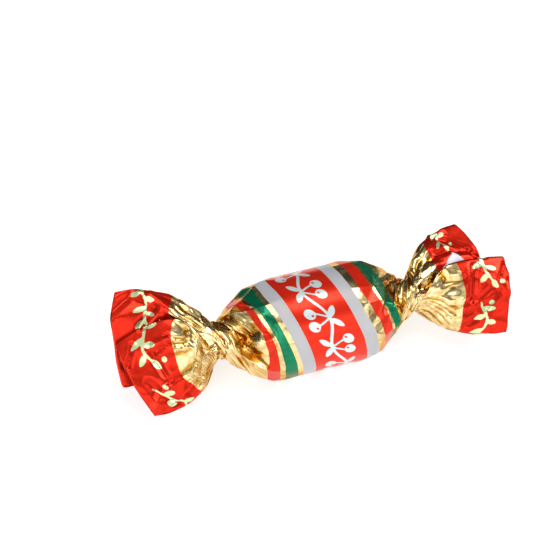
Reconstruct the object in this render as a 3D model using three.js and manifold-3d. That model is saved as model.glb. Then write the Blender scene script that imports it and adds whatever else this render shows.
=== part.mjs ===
// A liqueur chocolate in a twist wrapper of printed foil: a round barrel of chocolate, shut in one
// rectangle of film that is rolled round it, twisted to a neck at both ends and spread into a folded fan
// beyond each neck. The pack is shut, so it is one solid: the film's outer surface, filled, with the two
// fans left open between their front and back.
//
// Millimetres. +X runs along the sweet from the left fan to the right fan, +Z is up, and the origin is on
// the table, under the middle of the bounding box. Every cross-section is a closed ring of film, and the
// solid is the loft through those rings.

import Module from "manifold-3d";
import * as THREE from "three";
import { mergeVertices } from "three/addons/utils/BufferGeometryUtils.js";

// Driving dimensions.
const BODY_RADIUS = 9.7;
const NECK_AT = { left: 18.8, right: 19.4 }; // from the middle of the barrel
const NECK_RADIUS = 3.5;
const NECK_HALF_LENGTH = 0.6; // of the straight, narrowest stretch
const NECK_LIFT = 0.6; // the chocolate sags this far below the line through its two necks
const REST_FLAT_DEPTH = 0.3; // the underside is pressed flat this deep where it rests
const FAN_TILT = THREE.MathUtils.degToRad(43.5); // of the fans' width above the table

// Each shoulder runs from its neck to the full round of the barrel. A higher fullness bulges sooner.
const SHOULDERS = {
  left: { length: 11.6, fullness: 2.2 },
  right: { length: 10.5, fullness: 1.6 },
};

// Turns of twist in each end, and how far from the neck the twist reaches into its shoulder.
const TWIST_TURNS = 0.5;
const TWIST_REACH = 6.5;

// Pleats gathered at the neck: broad ones start at the shoulder, fine ones nearer the neck.
const BROAD_PLEATS = { count: 5, depth: 0.09, seed: 0.15 };
const FINE_PLEATS = { count: 9, depth: 0.17, seed: 0.6 };
const FAN_PLEATS = { count: 13, depth: 0.6, seed: 0.35 };

// The film leaves the neck evenly spread. Over this share of a fan it folds into line with the free edge.
const LINE_UP = 0.4;

// The free edge of each fan, as the corners of its folded film: distance outwards from the neck, height
// across the fan, and depth towards the front. The film runs from the top corner down the front, turns
// back behind itself at the hidden fold, comes forward again at the crease, runs down to the bottom
// corner, and returns up the back. On its way from the neck a flap bows up and laps forward over what lies
// behind it. The mouth is the gap between front and back, along its middle line.
const FANS = {
  left: {
    spread: 1.7, // how soon the fan opens beyond the neck
    puff: 1.0, // how far the gathered film bulges forwards and back near the neck
    crown: 1.4, // how far it bulges above
    belly: 1.7, // how far it bulges below
    corners: [
      { name: "top", out: 16.1, up: 13.6, front: 0.0 },
      { name: "upper edge", out: 18.3, up: 8.9, front: 0.8 },
      { name: "middle edge", out: 18.9, up: 0.8, front: 0.4, lap: -0.5 },
      { name: "hidden fold", out: 18.7, up: -4.5, front: -0.3, lap: -0.6 },
      { name: "crease", out: 18.5, up: 4.3, front: 1.9, bow: 3.1, lap: 0.9 },
      { name: "flap corner", out: 18.4, up: 1.0, front: 2.6, bow: 2.0, lap: 1.0 },
      { name: "flap edge", out: 17.1, up: -4.8, front: 3.2, bow: 0.6, lap: 0.4 },
      { name: "bottom", out: 14.6, up: -10.9, front: 2.6 },
      { name: "bottom back", out: 13.6, up: -9.6, front: 0.0 },
      { name: "lower back", out: 14.6, up: -5.0, front: -2.2 },
      { name: "middle back", out: 16.8, up: 1.0, front: -3.2 },
      { name: "upper back", out: 16.8, up: 8.0, front: -2.4 },
    ],
    mouth: [
      { out: 16.4, up: 12.2, front: -0.4, half: 0.1 },
      { out: 17.3, up: 8.4, front: -0.7, half: 0.95 },
      { out: 18.0, up: 2.0, front: -1.2, half: 1.1 },
      { out: 17.2, up: -4.0, front: -1.45, half: 0.35 },
      { out: 16.0, up: -6.4, front: 0.4, half: 0.5 },
      { out: 15.2, up: -8.0, front: 1.4, half: 0.1 },
    ],
  },
  right: {
    spread: 2.0,
    puff: 1.1,
    crown: 0.4,
    belly: 0.1,
    corners: [
      { name: "top", out: 12.4, up: 11.3, front: -2.6 },
      { name: "upper edge", out: 15.0, up: 6.1, front: -0.3 },
      { name: "middle edge", out: 15.3, up: 3.6, front: 0.3, lap: -0.4 },
      { name: "hidden fold", out: 16.4, up: -3.4, front: -0.1, lap: -0.6 },
      { name: "crease", out: 18.9, up: 3.2, front: 2.3, bow: 1.2, lap: 0.5 },
      { name: "flap corner", out: 19.0, up: -0.8, front: 3.0, bow: 0.8, lap: 0.5 },
      { name: "flap edge", out: 18.3, up: -4.4, front: 3.2, bow: 0.4, lap: 0.2 },
      { name: "bottom", out: 16.1, up: -11.5, front: 2.2 },
      { name: "lower back", out: 15.8, up: -6.6, front: -1.4 },
      { name: "middle back", out: 14.8, up: 0.4, front: -3.4 },
      { name: "upper back", out: 13.0, up: 6.6, front: -4.2 },
    ],
    mouth: [
      { out: 12.6, up: 10.2, front: -2.9, half: 0.1 },
      { out: 13.6, up: 6.6, front: -2.1, half: 1.1 },
      { out: 15.0, up: 1.8, front: -1.5, half: 1.15 },
      { out: 16.2, up: -3.6, front: -1.25, half: 0.5 },
      { out: 16.2, up: -6.6, front: 0.5, half: 0.6 },
      { out: 16.2, up: -8.8, front: 1.2, half: 0.1 },
    ],
  },
};

// How finely the film is drawn.
const RING_POINTS = 88;
const FAN_RINGS = 12;
const NECK_RINGS = 3;
const SHOULDER_RINGS = 9;
const BARREL_RINGS = 4;
const MOUTH_RINGS = 5;
const MOUTH_SPAN = [0.5, 1.25]; // of the way from the neck to the free edge

// Colour of the part.
const FOIL_GOLD = 0xd9b871;

const FULL_TURN = 2 * Math.PI;
const AXIS_HEIGHT = BODY_RADIUS - REST_FLAT_DEPTH;
const NECK_HEIGHT = AXIS_HEIGHT + NECK_LIFT;
const OUTWARDS = { left: -1, right: 1 };
const NECK_X = { left: -NECK_AT.left, right: NECK_AT.right };

// Across the fan: up along its width, and forward out of its face.
const ACROSS_UP = new THREE.Vector3(0, Math.cos(FAN_TILT), Math.sin(FAN_TILT));
const ACROSS_FRONT = new THREE.Vector3(0, -Math.sin(FAN_TILT), Math.cos(FAN_TILT));

const { clamp, lerp, smoothstep } = THREE.MathUtils;

// A wave from -1 to 1 with straight flanks, sharp crests and uneven spacing, closed over turn 0 to 1.
function pleatWave(turn, { count, seed }) {
  const drift = 0.22 * Math.sin(FULL_TURN * (2 * turn + seed)) + 0.13 * Math.sin(FULL_TURN * (5 * turn - seed));
  const phase = count * turn + drift + seed;
  const height = 0.75 + 0.25 * Math.sin(FULL_TURN * (3 * turn + seed));
  return height * (1 - 4 * Math.abs(phase - Math.floor(phase) - 0.5));
}

// The point at a distance up and forward from the line through the necks, at that line's own height.
function pointAcross(x, height, up, front) {
  return new THREE.Vector3(x, 0, height).addScaledVector(ACROSS_UP, up).addScaledVector(ACROSS_FRONT, front);
}

// The turns of twist that the film has taken at a distance from that end's neck, towards the barrel.
function twistAt(fromNeck) {
  const share = clamp((fromNeck + TWIST_REACH / 2) / (1.5 * TWIST_REACH), 0, 1);
  return TWIST_TURNS * smoothstep(share, 0, 1);
}

// One ring of film round the chocolate or its neck, at a distance from one end's neck towards the barrel.
// Turn 0 is on the fan's upper side, and turn 1/4 on its front.
function bodyRing(side, fromNeck) {
  const shoulder = SHOULDERS[side];
  const rise = clamp((fromNeck - NECK_HALF_LENGTH) / shoulder.length, 0, 1);
  const fill = 1 - Math.pow(1 - rise, shoulder.fullness);
  const radius = lerp(NECK_RADIUS, BODY_RADIUS, fill);
  const height = lerp(NECK_HEIGHT, AXIS_HEIGHT, fill);
  const broad = BROAD_PLEATS.depth * (1 - Math.pow(rise, 3));
  const fine = FINE_PLEATS.depth * Math.pow(1 - rise, 1.5);
  const x = NECK_X[side] - OUTWARDS[side] * fromNeck;
  return Array.from({ length: RING_POINTS }, (_, i) => {
    const turn = i / RING_POINTS;
    const gathered = radius * (1 + broad * pleatWave(turn, BROAD_PLEATS) + fine * pleatWave(turn, FINE_PLEATS));
    const angle = FULL_TURN * (turn + twistAt(fromNeck));
    const point = pointAcross(x, height, gathered * Math.cos(angle), gathered * Math.sin(angle));
    point.z = Math.max(point.z, 0);
    return point;
  });
}

// Spreads the ring's points over a fan's corners by length, with a point on every corner. Each has its spot
// on the free edge and how far the film bows and laps on its way there.
function edgePoints(corners) {
  const at = corners.map(({ out, up, front, bow = 0, lap = 0 }) => ({
    spot: new THREE.Vector3(out, up, front),
    bowed: new THREE.Vector3(0, bow, lap),
  }));
  const lengths = at.map(({ spot }, i) => spot.distanceTo(at[(i + 1) % at.length].spot));
  const total = lengths.reduce((sum, length) => sum + length, 0);
  const points = [];
  let run = 0;
  at.forEach(({ spot, bowed }, i) => {
    const next = at[(i + 1) % at.length];
    const first = Math.round((run / total) * RING_POINTS);
    run += lengths[i];
    const last = Math.round((run / total) * RING_POINTS);
    for (let k = first; k < last; k += 1) {
      const share = (k - first) / (last - first);
      points.push({ spot: spot.clone().lerp(next.spot, share), bowed: bowed.clone().lerp(next.bowed, share) });
    }
  });
  return points;
}

// The angle round the neck that lies in line with each point of a free edge: 0 at the top, half a turn at
// the bottom, and a full turn behind.
function edgeAngles(edge) {
  const ups = edge.map(({ spot }) => spot.y);
  const [top, bottom] = [Math.max(...ups), Math.min(...ups)];
  const lowest = ups.indexOf(bottom);
  return ups.map((up, i) => {
    const angle = Math.acos(clamp(up > 0 ? up / top : -up / bottom, -1, 1));
    return i > lowest ? FULL_TURN - angle : angle;
  });
}

// How far a fan has opened, from its round neck (0) to its flat free edge (1).
function openness(side, along) {
  return 1 - Math.pow(1 - Math.min(along, 1), FANS[side].spread);
}

// One ring of a fan, from its neck (0) to its free edge (1).
function fanRing(side, along) {
  const { puff, crown, belly, corners } = FANS[side];
  const open = openness(side, along);
  const linedUp = smoothstep(along, 0, LINE_UP);
  const swelling = Math.sin(Math.PI * Math.sqrt(along));
  const bowing = Math.sin(Math.PI * Math.pow(along, 0.75));
  const pleat = FAN_PLEATS.depth * (1 - along) * Math.min(1, 4 * along);
  const neckPleat = FINE_PLEATS.depth * (1 - along);
  const edge = edgePoints(corners);
  const angles = edgeAngles(edge);
  return edge.map(({ spot, bowed }, i) => {
    const angle = lerp((FULL_TURN * i) / RING_POINTS, angles[i], linedUp);
    const turn = angle / FULL_TURN;
    const neck = NECK_RADIUS * (1 + neckPleat * pleatWave(turn, FINE_PLEATS));
    const depth = puff * swelling + pleat * pleatWave(turn, FAN_PLEATS);
    const bulge = swelling * Math.cos(angle) * (Math.cos(angle) > 0 ? crown : belly);
    return pointAcross(
      NECK_X[side] + OUTWARDS[side] * (NECK_HALF_LENGTH + spot.x * along),
      NECK_HEIGHT,
      lerp(neck * Math.cos(angle), spot.y, open) + bulge + bowed.y * bowing,
      lerp(neck * Math.sin(angle), spot.z, open) + depth * Math.sin(angle) + bowed.z * bowing,
    );
  });
}

// Every ring of one end, from the fan's free edge to the end of the shoulder.
function endRings(side) {
  const rings = [];
  for (let i = FAN_RINGS; i > 0; i -= 1) {
    rings.push(fanRing(side, Math.pow(i / FAN_RINGS, 1.2)));
  }
  for (let i = 0; i < NECK_RINGS; i += 1) {
    rings.push(bodyRing(side, NECK_HALF_LENGTH * ((2 * i) / NECK_RINGS - 1)));
  }
  for (let i = 0; i <= SHOULDER_RINGS; i += 1) {
    rings.push(bodyRing(side, NECK_HALF_LENGTH + SHOULDERS[side].length * Math.pow(i / SHOULDER_RINGS, 1.1)));
  }
  return rings;
}

// The whole film, ring by ring from left to right. The barrel's rings lie evenly between the shoulders.
function wrapperRings() {
  const left = endRings("left");
  const right = endRings("right").reverse();
  const [from, to] = [left[left.length - 1], right[0]];
  const barrel = Array.from({ length: BARREL_RINGS }, (_, k) =>
    from.map((point, i) => point.clone().lerp(to[i], (k + 1) / (BARREL_RINGS + 1))),
  );
  return [...left, ...barrel, ...right];
}

// The free space in one fan's mouth, as a lens-shaped slit that narrows towards the neck.
function mouthRings(side) {
  const { mouth } = FANS[side];
  const faces = [
    ...mouth.map((station) => ({ ...station, facing: 1 })),
    ...mouth.map((station) => ({ ...station, facing: -1 })).reverse(),
  ];
  const rings = Array.from({ length: MOUTH_RINGS }, (_, k) => {
    const along = lerp(...MOUTH_SPAN, k / (MOUTH_RINGS - 1));
    const open = openness(side, along);
    return faces.map(({ out, up, front, half, facing }) =>
      pointAcross(
        NECK_X[side] + OUTWARDS[side] * (NECK_HALF_LENGTH + out * along),
        NECK_HEIGHT,
        up * open,
        (front + facing * half) * open,
      ),
    );
  });
  return side === "left" ? rings.reverse() : rings;
}

// The closed skin through a stack of rings from left to right, capped across both ends.
function loft(rings) {
  const count = rings[0].length;
  const index = [];
  for (let r = 0; r + 1 < rings.length; r += 1) {
    for (let i = 0; i < count; i += 1) {
      const next = (i + 1) % count;
      const [a, b, c, d] = [r * count + i, r * count + next, (r + 1) * count + i, (r + 1) * count + next];
      index.push(a, b, c, b, d, c);
    }
  }
  const across = (point) => new THREE.Vector2(point.dot(ACROSS_UP), point.dot(ACROSS_FRONT));
  const lastRing = (rings.length - 1) * count;
  for (const [a, b, c] of THREE.ShapeUtils.triangulateShape(rings[0].map(across), [])) {
    index.push(a, c, b);
  }
  for (const [a, b, c] of THREE.ShapeUtils.triangulateShape(rings[rings.length - 1].map(across), [])) {
    index.push(lastRing + a, lastRing + b, lastRing + c);
  }
  const geometry = new THREE.BufferGeometry().setFromPoints(rings.flat());
  geometry.setIndex(index);
  return geometry;
}

const wasm = await Module();
wasm.setup();

// A closed skin as a solid that can be cut.
function solidFrom(geometry) {
  const merged = mergeVertices(geometry);
  return new wasm.Manifold(
    new wasm.Mesh({
      numProp: 3,
      vertProperties: merged.attributes.position.array,
      triVerts: new Uint32Array(merged.index.array),
    }),
  );
}

// A cut solid as a geometry again.
function geometryFrom(solid) {
  const { vertProperties, triVerts } = solid.getMesh();
  const geometry = new THREE.BufferGeometry();
  geometry.setAttribute("position", new THREE.BufferAttribute(vertProperties, 3));
  geometry.setIndex(new THREE.BufferAttribute(triVerts, 1));
  geometry.computeVertexNormals();
  return geometry;
}

// The wrapped sweet, with both fans open at their mouths.
function wrappedSweet() {
  return ["left", "right"].reduce(
    (solid, side) => solid.subtract(solidFrom(loft(mouthRings(side)))),
    solidFrom(loft(wrapperRings())),
  );
}

const foil = new THREE.MeshStandardMaterial({ color: FOIL_GOLD, roughness: 0.22, metalness: 0.9 });
const wrapper = new THREE.Mesh(geometryFrom(wrappedSweet()), foil);
wrapper.name = "twist_wrapper";

// The origin goes under the middle of the bounding box.
wrapper.geometry.computeBoundingBox();
const middle = wrapper.geometry.boundingBox.getCenter(new THREE.Vector3());
wrapper.position.set(-middle.x, -middle.y, 0);

const sweet = new THREE.Group();
sweet.add(wrapper);

export default sweet;
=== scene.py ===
"""Looks of a liqueur chocolate shut in a twist wrapper of printed foil film.

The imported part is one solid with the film's shape and size. This script draws the same film finely, lets
its slack buckle into folds, prints it, and stages it on a pale floor. Sizes are in millimetres, unless
their description says metres; x runs along the sweet, y across it and z up. Meshes are in metres.
"""

import logging
import math
from dataclasses import dataclass, field
from enum import Enum

import bpy
import numpy as np
from mathutils import Matrix, Vector
from mathutils.geometry import delaunay_2d_cdt

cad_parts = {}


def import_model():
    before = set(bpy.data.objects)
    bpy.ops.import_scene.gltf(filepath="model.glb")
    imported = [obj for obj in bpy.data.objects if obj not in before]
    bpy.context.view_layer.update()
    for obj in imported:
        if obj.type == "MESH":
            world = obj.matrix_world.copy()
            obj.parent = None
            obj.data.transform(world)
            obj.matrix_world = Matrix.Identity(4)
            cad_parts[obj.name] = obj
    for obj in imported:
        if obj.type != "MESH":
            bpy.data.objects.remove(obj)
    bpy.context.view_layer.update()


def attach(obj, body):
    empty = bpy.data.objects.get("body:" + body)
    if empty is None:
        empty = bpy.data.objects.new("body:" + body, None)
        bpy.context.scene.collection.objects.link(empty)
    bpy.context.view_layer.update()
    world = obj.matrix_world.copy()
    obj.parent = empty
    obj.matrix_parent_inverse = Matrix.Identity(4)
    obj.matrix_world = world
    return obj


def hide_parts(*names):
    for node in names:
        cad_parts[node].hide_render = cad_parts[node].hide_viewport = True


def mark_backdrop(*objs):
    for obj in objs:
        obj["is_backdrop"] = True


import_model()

log = logging.getLogger("liqueur_chocolate")

MM = 0.001
FULL_TURN = 2 * math.pi
PRINT_BARE = 8.0  # gold film on the flat print between each neck and the red print of its fan
FILM_WIDTH = 60.9  # width of the film round the barrel
LAYERS_PART = 1.0  # distance beyond a neck from which the front and back of its fan are told apart
SWEET_MIDDLE = (0.0, 0.0, 0.01)  # what the softboxes face, in metres
Rgba = tuple[float, float, float, float]
Spot = tuple[float, float]
Socket = bpy.types.NodeSocket


class Side(Enum):
    """An end of the sweet, with the way outwards along x."""

    LEFT = -1
    RIGHT = 1


def smoothstep(share: np.ndarray) -> np.ndarray:
    """Returns an even ease from 0 to 1 for a share that is clipped to that range."""
    share = np.clip(share, 0.0, 1.0)
    return share * share * (3 - 2 * share)


def length(vectors: np.ndarray) -> np.ndarray:
    """Returns the lengths of vectors that lie along the last axis."""
    return np.linalg.norm(vectors, axis=-1)


def after(values: np.ndarray) -> np.ndarray:
    """Returns the next point's value at each point round the film."""
    return np.roll(values, -1, axis=1)


def before(values: np.ndarray) -> np.ndarray:
    """Returns the previous point's value at each point round the film."""
    return np.roll(values, 1, axis=1)


def lift_to_table(points: np.ndarray) -> None:
    """Lifts points that lie below the table up to it."""
    points[..., 2] = np.maximum(points[..., 2], 0.0)


def ease(value: np.ndarray, start: float, end: float) -> np.ndarray:
    """Returns an even ease from 0 at one value to 1 at another."""
    return smoothstep((value - start) / (end - start))


def colour(red: float, green: float, blue: float) -> Rgba:
    """Turns a display colour into the linear colour that a shader takes.

    Args:
        red: Red from 0 to 255, as a screen shows it.
        green: Green from 0 to 255.
        blue: Blue from 0 to 255.

    Returns:
        The linear red, green and blue from 0 to 1, and an alpha of 1.
    """

    def linear(value: float) -> float:
        """Returns one channel in linear light."""
        value /= 255
        return value / 12.92 if value <= 0.04045 else ((value + 0.055) / 1.055) ** 2.4

    return (linear(red), linear(green), linear(blue), 1.0)


@dataclass(frozen=True)
class Wiring:
    """Builds a node tree.

    Attributes:
        tree: The tree.
    """

    tree: bpy.types.NodeTree

    def feed(self, node: bpy.types.Node, inputs: dict[str | int, object]) -> None:
        """Sets or links a node's inputs.

        Args:
            node: The node.
            inputs: A value or another node's output for each input, by its name or number.
        """
        for key, value in inputs.items():
            if isinstance(value, Socket):
                self.tree.links.new(value, node.inputs[key])
            else:
                node.inputs[key].default_value = value

    def add(
        self, kind: str, inputs: dict[str | int, object] | None = None, **options: object
    ) -> bpy.types.Node:
        """Adds a node.

        Args:
            kind: The node's type.
            inputs: What its inputs get, as feed takes it.
            options: The node's own settings.

        Returns:
            The node.
        """
        node = self.tree.nodes.new(kind)
        for name, value in options.items():
            setattr(node, name, value)
        self.feed(node, inputs or {})
        return node

    def reckon(self, operation: str, *values: object) -> Socket:
        """Returns the result of a sum with sockets and numbers."""
        return self.add("ShaderNodeMath", dict(enumerate(values)), operation=operation).outputs["Value"]

    def ranged(self, value: Socket, start: float, end: float, *onto: float) -> Socket:
        """Maps a range of a value.

        Args:
            value: The value.
            start: Start of the range.
            end: End of the range.
            onto: What its start and end become, when they aren't 0 and 1.

        Returns:
            The mapped value, kept within the new range.
        """
        limits = dict(zip(("To Min", "To Max"), onto))
        inputs = {"Value": value, "From Min": start, "From Max": end, **limits}
        return self.add("ShaderNodeMapRange", inputs).outputs["Result"]

    def ramp(
        self, place: Socket, stops: list[tuple[float, Rgba]], interpolation: str = "LINEAR"
    ) -> Socket:
        """Adds a colour ramp.

        Args:
            place: The place on the ramp, from 0 to 1.
            stops: The place and colour of each stop.
            interpolation: How the colour runs between stops.

        Returns:
            The colour.
        """
        node = self.add("ShaderNodeValToRGB", {"Fac": place})
        node.color_ramp.interpolation = interpolation
        elements = node.color_ramp.elements
        elements.remove(elements[1])
        elements[0].position, elements[0].color = stops[0]
        for where, value in stops[1:]:
            elements.new(where).color = value
        return node.outputs["Color"]


@dataclass(frozen=True)
class Pleats:
    """A set of folds round the film.

    Attributes:
        count: Folds in one turn.
        depth: Height of a fold, as a share of the radius or in millimetres.
        seed: Shifts the folds and their uneven spacing.
    """

    count: int
    depth: float
    seed: float

    def wave(self, turn: np.ndarray) -> np.ndarray:
        """Draws the folds as a wave with straight flanks and sharp crests.

        Args:
            turn: Places round the film, in turns.

        Returns:
            The wave from -1 to 1 at each place.
        """
        drift = 0.22 * np.sin(FULL_TURN * (2 * turn + self.seed))
        drift += 0.13 * np.sin(FULL_TURN * (5 * turn - self.seed))
        phase = self.count * turn + drift + self.seed
        height = 0.75 + 0.25 * np.sin(FULL_TURN * (3 * turn + self.seed))
        return height * (1 - 4 * np.abs(phase - np.floor(phase) - 0.5))


@dataclass(frozen=True)
class Corner:
    """A corner of a fan's free edge.

    Attributes:
        out: Distance outwards from the neck.
        up: Height across the fan.
        front: Distance forward out of the fan's face.
        bare: Gold film between the neck and the red print there.
        bow: How far the film bows up on its way from the neck.
        lap: How far it bows forward, where it lies over another layer.
    """

    out: float
    up: float
    front: float
    bare: float
    bow: float = 0.0
    lap: float = 0.0


@dataclass(frozen=True)
class FilmEnd:
    """One end of the film: its shoulder on the chocolate, and its fan beyond the neck.

    Attributes:
        neck_at: Distance of the neck from the barrel's middle.
        shoulder: Length of the shoulder, from the neck to the full round.
        fullness: How soon the shoulder bulges.
        spread: How soon the fan opens beyond the neck.
        puff: How far the gathered film bulges forwards and back near the neck.
        crown: How far it bulges above.
        belly: How far it bulges below.
        corners: The free edge's corners, from the top down the front and back up behind.
        turned: Corners of a small fold that shows the film's pale reverse, as distance out and height.
    """

    neck_at: float
    shoulder: float
    fullness: float
    spread: float
    puff: float
    crown: float
    belly: float
    corners: tuple[Corner, ...]
    turned: tuple[Spot, ...] = ()


LEFT_END = FilmEnd(
    neck_at=18.8,
    shoulder=11.6,
    fullness=2.2,
    spread=1.7,
    puff=1.0,
    crown=1.4,
    belly=1.7,
    corners=(
        Corner(16.1, 13.6, 0.0, 9.4),
        Corner(18.3, 8.9, 0.8, 9.0),
        Corner(18.6, 3.8, 0.3, 9.0, 0.0, -0.5),
        Corner(18.9, 0.8, 0.0, 9.0, 0.0, -0.7),
        Corner(18.7, -4.5, -0.5, 9.0, 0.0, -0.85),
        Corner(14.3, -4.0, 0.3, 9.0, 1.0, 0.0),
        Corner(18.5, 4.3, 1.7, 9.2, 3.1, 0.9),
        Corner(18.4, 1.0, 2.6, 9.6, 2.0, 1.0),
        Corner(17.1, -4.8, 3.2, 9.3, 0.6, 0.4),
        Corner(14.6, -10.9, 2.6, 7.0),
        Corner(13.6, -9.6, 0.0, 7.4),
        Corner(14.6, -5.0, -2.2, 7.8),
        Corner(16.8, 1.0, -3.2, 9.0),
        Corner(16.8, 8.0, -2.4, 9.2),
    ),
)
RIGHT_END = FilmEnd(
    neck_at=19.4,
    shoulder=10.5,
    fullness=1.6,
    spread=2.0,
    puff=1.1,
    crown=0.4,
    belly=0.1,
    corners=(
        Corner(12.4, 11.3, -2.6, 7.2),
        Corner(13.8, 9.1, -1.9, 6.8),
        Corner(15.0, 6.1, -0.5, 6.2),
        Corner(15.3, 3.6, 0.0, 6.4, 0.0, -0.5),
        Corner(16.4, -3.4, -0.5, 7.0, 0.0, -0.8),
        Corner(14.8, -2.6, 0.3, 8.6, 1.0, 0.0),
        Corner(18.9, 3.2, 2.3, 9.6, 1.2, 0.5),
        Corner(19.0, -0.8, 3.1, 9.6, 0.8, 0.5),
        Corner(18.3, -4.4, 3.3, 9.5, 0.4, 0.2),
        Corner(16.1, -11.5, 2.2, 8.6),
        Corner(15.8, -6.6, -1.4, 8.8),
        Corner(14.8, 0.4, -3.4, 7.8),
        Corner(13.0, 6.6, -4.2, 7.4),
    ),
    turned=((6.2, 2.8), (10.0, 6.1), (12.6, 3.0)),
)


@dataclass
class FilmTube:
    """The film as a tube of points, one row round the sweet for each station along it.

    Attributes:
        points: Places of the film's outer face, rows by columns by 3, in millimetres.
        resting: The smooth shape that the film settles around, in the same layout.
        along: Place along the print at each point, in millimetres from the middle.
        turn: Place round the film at each point, in turns.
        around: Place round the sweet's own outline, in turns, the same for layers that lie on each other.
        slack: How loose the film is at each point, from 0 to 1.
        beyond: How far beyond its neck each point lies; it is below 0 on the barrel.
        middle: What was taken off the points to centre them.
    """

    points: np.ndarray
    resting: np.ndarray
    along: np.ndarray
    turn: np.ndarray
    around: np.ndarray
    slack: np.ndarray
    beyond: np.ndarray
    middle: np.ndarray

    def sampled(self, field_: np.ndarray) -> np.ndarray:
        """Reads a field that is drawn round the sweet's own outline at each point of the film.

        Args:
            field_: Values, rows by columns.

        Returns:
            The values in the film's own layout, so that layers lying on each other share them.
        """
        rows, columns = field_.shape
        where = self.around * columns
        first = np.floor(where).astype(int)
        share = where - first
        row = np.arange(rows)[:, None]
        return field_[row, first % columns] * (1 - share) + field_[row, (first + 1) % columns] * share

    def outward(self, front: np.ndarray) -> np.ndarray:
        """Finds the way out of the sweet at each point, also where a folded layer faces inwards.

        Args:
            front: Direction forward out of the fans' face.

        Returns:
            Unit vectors in the film's layout.
        """
        normals = surface_normals(self.resting)
        ahead = np.where(self.around % 1.0 < 0.5, 1.0, -1.0)
        folded = (self.beyond > LAYERS_PART) & (ahead * (normals @ front) < 0)
        return np.where(folded[..., None], -normals, normals)


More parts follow.
